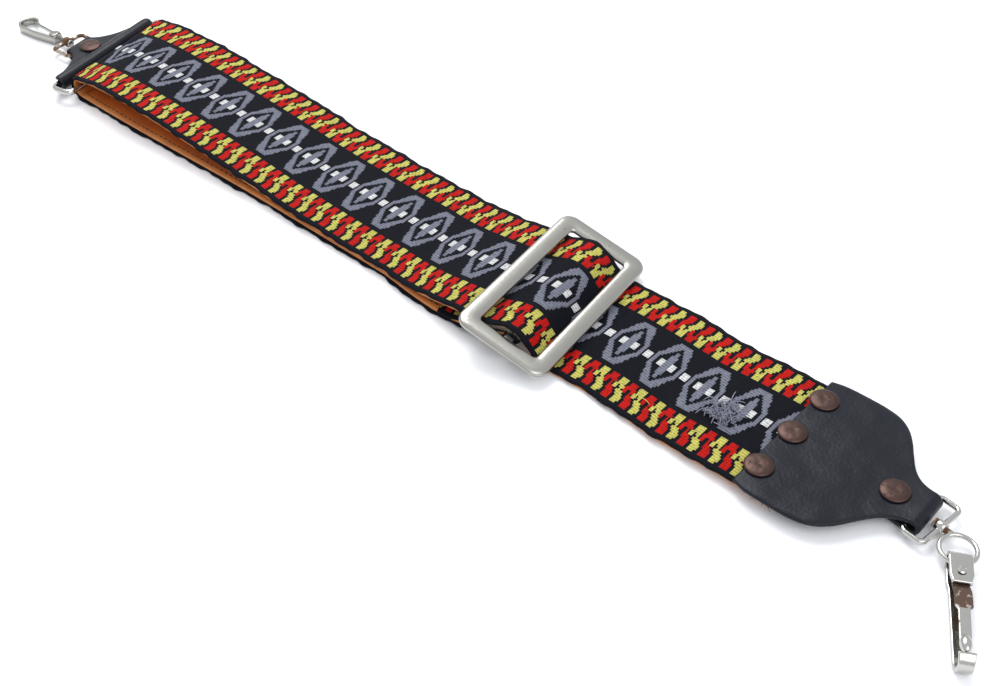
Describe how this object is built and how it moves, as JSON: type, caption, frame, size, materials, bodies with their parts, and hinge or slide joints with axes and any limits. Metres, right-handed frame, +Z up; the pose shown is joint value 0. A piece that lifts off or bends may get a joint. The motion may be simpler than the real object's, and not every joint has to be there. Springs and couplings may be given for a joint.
{
  "type": "guitar strap",
  "caption": "Woven patterned shoulder strap with a vinyl lining, doubled back through a metal slide, with a leather tab, swivel and snap hook at each end.",
  "frame": {"origin": "on the table under the middle of the laid strap's box", "axes": "+X along the strap towards the long hook, +Y across the band, +Z up from the table, through the band's patterned face"},
  "size_m": [0.4488, 0.0732, 0.0135],
  "materials": {
    "weave": "matte ribbed jacquard weave",
    "lining": "satin grained vinyl",
    "leather": "semi-gloss worn leather",
    "nickel": "worn nickel plate with fine pits",
    "wire": "dull plated wire",
    "rust": "rusted wire",
    "rivet": "brown enamelled rivet"
  },
  "bodies": {
    "slide": {"slide_frame": "nickel", "slide_bar": "wire", "band_hump": "weave", "lining_hump": "lining", "band_upper": "weave", "lining_upper": "lining", "band_lower": "weave", "lining_lower": "lining"},
    "near_end": {"band_near": "weave", "lining_near": "lining", "near_tab": "leather", "near_rivet_1_cap": "rivet", "near_rivet_1_back": "rivet", "near_rivet_2_cap": "rivet", "near_rivet_2_back": "rivet", "near_rivet_3_cap": "rivet", "near_rivet_3_back": "rivet", "near_neck_rivet_cap": "rivet", "near_neck_rivet_back": "rivet"},
    "far_ring": {"far_ring": "wire", "band_fold": "weave", "lining_fold": "lining"},
    "near_loop": {"near_loop": "wire"},
    "near_eye": {"near_eye": "rust"},
    "near_hook": {"near_hook_body": "nickel", "near_hook_rivet": "nickel"},
    "near_gate": {"near_hook_gate": "nickel"},
    "far_tab": {"far_tab": "leather", "far_rivet_cap": "rivet", "far_rivet_back": "rivet"},
    "far_loop": {"far_loop": "rust"},
    "far_hook": {"far_hook_body": "nickel", "far_hook_pin": "nickel"},
    "far_gate": {"far_hook_gate": "nickel"}
  },
  "joints": [
    {"name": "length_adjust", "type": "slide", "parent": "slide", "child": "near_end", "axis": [1, 0, 0], "range_m": [-0.025, 0.045], "deforming": ["band_near", "lining_near"]},
    {"name": "loop_shortens", "type": "slide", "parent": "slide", "child": "far_ring", "axis": [1, 0, 0], "range_m": [-0.0125, 0.0225], "deforming": ["band_upper", "lining_upper", "band_lower", "lining_lower"]},
    {"name": "near_loop_swing", "type": "hinge", "parent": "near_end", "child": "near_loop", "pos_m": [0.18921, 0.00289, 0.00285], "axis": [0.1392, 0.9903, 0], "range_deg": [-80, 80]},
    {"name": "near_swivel", "type": "hinge", "parent": "near_loop", "child": "near_eye", "pos_m": [0.19605, 0.00193, 0.00285], "axis": [0.9903, -0.1392, 0], "continuous": true},
    {"name": "near_hook_swing", "type": "hinge", "parent": "near_eye", "child": "near_hook", "pos_m": [0.20311, -0.00195, 0.00285], "axis": [0, 0, 1], "range_deg": [-40, 100]},
    {"name": "near_gate_press", "type": "hinge", "parent": "near_hook", "child": "near_gate", "pos_m": [0.2078, -0.01009, 0.00375], "axis": [0.866, 0.5, 0], "range_deg": [0, 7], "stiffness_Nm_per_rad": 0.2, "springref_deg": -2.86},
    {"name": "far_tab_swing", "type": "hinge", "parent": "far_ring", "child": "far_tab", "pos_m": [-0.17378, -0.00155, 0.0047], "axis": [0.2079, -0.9781, 0], "range_deg": [-75, 30]},
    {"name": "far_loop_swing", "type": "hinge", "parent": "far_tab", "child": "far_loop", "pos_m": [-0.18611, -0.00417, 0.00285], "axis": [0.0698, -0.9976, 0], "range_deg": [-60, 70]},
    {"name": "far_swivel", "type": "hinge", "parent": "far_loop", "child": "far_hook", "pos_m": [-0.19548, -0.00482, 0.00285], "axis": [-0.9976, -0.0698, 0], "continuous": true},
    {"name": "far_gate_press", "type": "hinge", "parent": "far_hook", "child": "far_gate", "pos_m": [-0.20487, -0.00397, 0.00195], "axis": [0, 0, 1], "range_deg": [0, 15], "stiffness_Nm_per_rad": 0.05, "springref_deg": -2.86}
  ],
  "couplings": [
    {"joint": "loop_shortens", "follows": "length_adjust", "ratio": 0.5}
  ]
}
